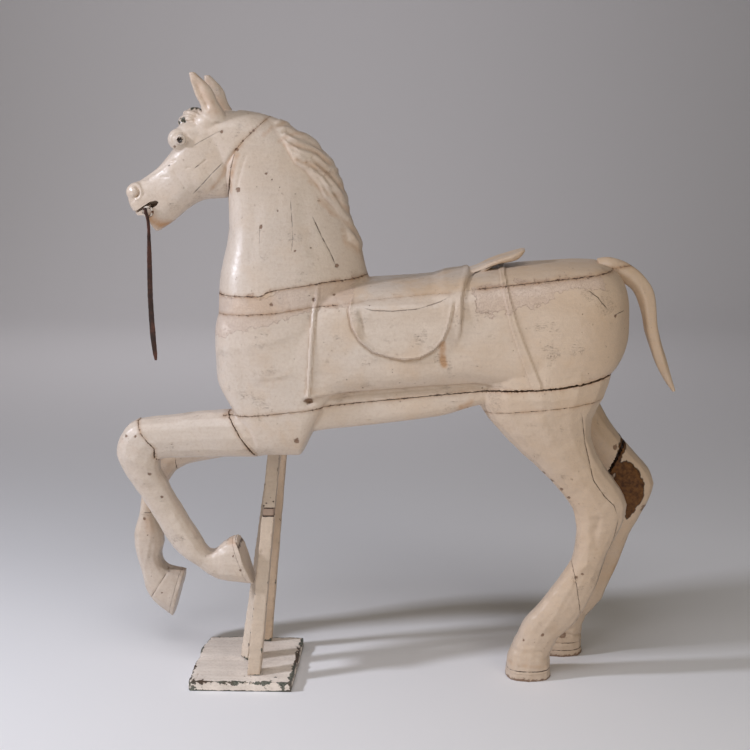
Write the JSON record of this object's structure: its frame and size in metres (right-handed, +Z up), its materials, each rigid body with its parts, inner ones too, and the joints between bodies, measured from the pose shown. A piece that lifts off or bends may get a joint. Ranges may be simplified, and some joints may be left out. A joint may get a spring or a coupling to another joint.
{
  "type": "carved wooden carousel horse on a plank stand",
  "caption": "Life-like prancing merry-go-round horse, glued up from painted wood blocks, held under the chest by a strutted board stand.",
  "frame": {"origin": "bottom centre of the bounding box, on the floor that the hind hooves and the stand's board rest on", "axes": "+Z up; -X is where the horse looks; -Y is its near (left) side"},
  "size_m": [1.2493, 0.3333, 1.353],
  "materials": {
    "cream_paint": "aged glossy cream-white paint over carved wood, brushed, cracked and chipped to dark wood",
    "eye_glass": "dark polished glass",
    "rusted_iron": "rusted, dull",
    "dark_leather": "old, dry, dark red-brown",
    "stand_paint": "worn off-white paint, edges rubbed to dark green",
    "bare_wood": "bare reddish wood"
  },
  "bodies": {
    "root": {"head": "cream_paint", "near_eye": "eye_glass", "far_eye": "eye_glass", "neck": "cream_paint", "back_board": "cream_paint", "body_block": "cream_paint", "keel_board": "cream_paint", "saddle_cantle": "cream_paint", "tail": "cream_paint", "near_forearm": "cream_paint", "near_fore_shank": "cream_paint", "near_fore_shoe": "cream_paint", "far_forearm": "cream_paint", "far_knee": "cream_paint", "far_fore_shank": "cream_paint", "far_fore_shoe": "cream_paint", "near_hind_leg": "cream_paint", "near_hind_foot": "cream_paint", "near_hind_shoe": "cream_paint", "far_hind_thigh": "cream_paint", "far_hind_shank": "cream_paint", "far_hind_shoe": "cream_paint", "bit": "rusted_iron", "rein": "dark_leather", "stand_plate": "stand_paint", "stand_front_post_lower": "stand_paint", "stand_post_packing": "bare_wood", "stand_front_post_upper": "stand_paint", "stand_side_post": "stand_paint", "stand_back_post": "stand_paint"}
  },
  "joints": []
}
